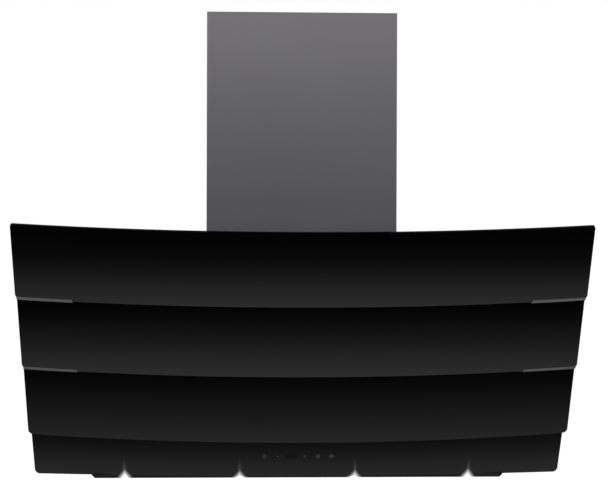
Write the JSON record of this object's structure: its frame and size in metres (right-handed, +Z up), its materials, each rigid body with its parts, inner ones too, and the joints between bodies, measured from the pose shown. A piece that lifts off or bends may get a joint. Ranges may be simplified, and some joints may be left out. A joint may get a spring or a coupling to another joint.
{
  "type": "wall mount range hood",
  "caption": "Slanted wall hood with a hinged front of three bent black glass lamellas, a touch control band, a lamp tray and a telescopic chimney.",
  "frame": {"origin": "centre of the four wall fixing holes, on the wall plane", "axes": "+X to the viewer's right, +Y into the wall, +Z up; the wall is the plane y = 0"},
  "size_m": [0.898, 0.432, 0.774],
  "materials": {
    "graphite_paint": "satin",
    "black_paint": "satin",
    "zinc_steel": "matt",
    "black_glass": "polished",
    "satin_aluminium": "satin",
    "bright_steel": "satin",
    "black_plastic": "matt",
    "grey_plastic": "matt",
    "black_rubber": "matt",
    "lamp_lens": "polished",
    "board_green": "satin",
    "display_face": "polished"
  },
  "bodies": {
    "hood": {"back_panel": "zinc_steel", "top_panel": "zinc_steel", "base_panel": "black_paint", "lamp_tray": "black_paint", "front_frame": "black_paint", "left_side_panel": "black_paint", "right_side_panel": "black_paint", "left_filter_frame": "satin_aluminium", "right_filter_frame": "satin_aluminium", "left_filter_mesh": "satin_aluminium", "right_filter_mesh": "satin_aluminium", "hinge_brackets": "bright_steel", "hinge_pins": "bright_steel", "blower_housing_left": "zinc_steel", "blower_housing_right": "zinc_steel", "blower_motor": "zinc_steel", "motor_cradle": "zinc_steel", "door_magnets": "black_plastic", "door_bumpers": "black_rubber", "control_glass": "black_glass", "band_brackets": "black_paint", "key_carrier": "black_plastic", "touch_board": "board_green", "display_module": "display_face", "lamp_housings": "satin_aluminium", "lamp_lenses": "lamp_lens", "control_box": "grey_plastic", "control_box_lid": "grey_plastic", "run_capacitor": "grey_plastic", "capacitor_strap": "zinc_steel", "mains_gland": "black_plastic", "outlet_collar": "black_plastic", "flap_shaft": "bright_steel", "chimney_lower_cover": "graphite_paint", "chimney_angles": "zinc_steel"},
    "door": {"glass_lamella_bottom": "black_glass", "glass_lamella_middle": "black_glass", "glass_lamella_top": "black_glass", "lamella_clips_lower": "satin_aluminium", "lamella_clips_upper": "satin_aluminium", "door_arm_left": "black_paint", "door_arm_right": "black_paint", "door_rail_bottom": "black_paint", "door_rail_top": "black_paint", "glass_pads": "black_rubber", "strike_plates": "bright_steel"},
    "chimney_upper": {"chimney_upper_cover": "graphite_paint", "chimney_wall_bracket": "zinc_steel"},
    "fan_wheel": {"impeller": "zinc_steel", "motor_shaft": "bright_steel"},
    "flap_rear": {"damper_flap_rear": "black_plastic"},
    "flap_front": {"damper_flap_front": "black_plastic"},
    "latch_left": {"left_filter_latch": "bright_steel"},
    "latch_right": {"right_filter_latch": "bright_steel"}
  },
  "joints": [
    {"name": "door_hinge", "type": "hinge", "parent": "hood", "child": "door", "pos_m": [0, -0.37439, 0.056], "axis": [-1, 0, 0], "range_deg": [0, 70]},
    {"name": "chimney_slide", "type": "slide", "parent": "hood", "child": "chimney_upper", "axis": [0, 0, 1], "range_m": [0, 0.24]},
    {"name": "fan_spin", "type": "hinge", "parent": "hood", "child": "fan_wheel", "pos_m": [0, -0.15, -0.068], "axis": [1, 0, 0], "continuous": true},
    {"name": "flap_rear_hinge", "type": "hinge", "parent": "hood", "child": "flap_rear", "pos_m": [0, -0.112, 0.09], "axis": [1, 0, 0], "range_deg": [0, 75]},
    {"name": "flap_front_hinge", "type": "hinge", "parent": "hood", "child": "flap_front", "pos_m": [0, -0.112, 0.09], "axis": [-1, 0, 0], "range_deg": [0, 75]},
    {"name": "latch_left_slide", "type": "slide", "parent": "hood", "child": "latch_left", "axis": [0, 0.5245, -0.8514], "range_m": [0, 0.006], "stiffness_N_per_m": 300, "springref_m": -0.003},
    {"name": "latch_right_slide", "type": "slide", "parent": "hood", "child": "latch_right", "axis": [0, 0.5245, -0.8514], "range_m": [0, 0.006], "stiffness_N_per_m": 300, "springref_m": -0.003}
  ]
}
